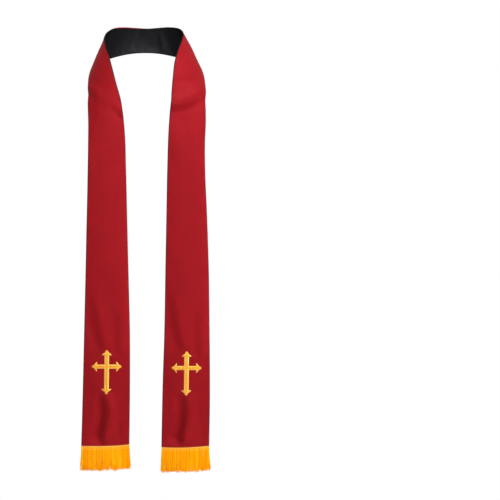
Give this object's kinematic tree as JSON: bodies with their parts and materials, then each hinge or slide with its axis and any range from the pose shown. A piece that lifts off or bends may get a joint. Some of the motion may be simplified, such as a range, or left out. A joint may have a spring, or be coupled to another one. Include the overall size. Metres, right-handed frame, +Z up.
{
  "type": "reversible clerical stole",
  "caption": "Reversible clerical stole, red on one side and black on the other, with a gold embroidered cross above each fringed hem, hanging open as round a neck.",
  "frame": {"origin": "middle of the neck opening, level with the neck edge of the band at the centre-back seam", "axes": "+Z up, the strips hang in front at -Y, +X is the viewer's right in the front view"},
  "size_m": [0.3639, 0.196, 1.2673],
  "materials": {
    "red_cloth": "deep red polyester satin twill with a soft low sheen",
    "black_cloth": "black polyester satin twill with a soft low sheen",
    "gold_thread": "glossy gold satin-stitch embroidery",
    "gold_fringe": "gold rayon yarn fringe, silky"
  },
  "bodies": {
    "root": {"red_half_left": "red_cloth", "red_half_right": "red_cloth", "black_half_left": "black_cloth", "black_half_right": "black_cloth", "red_cross_left": "gold_thread", "red_cross_right": "gold_thread", "black_cross_left": "gold_thread", "black_cross_right": "gold_thread", "fringe_left": "gold_fringe", "fringe_right": "gold_fringe"}
  },
  "joints": []
}
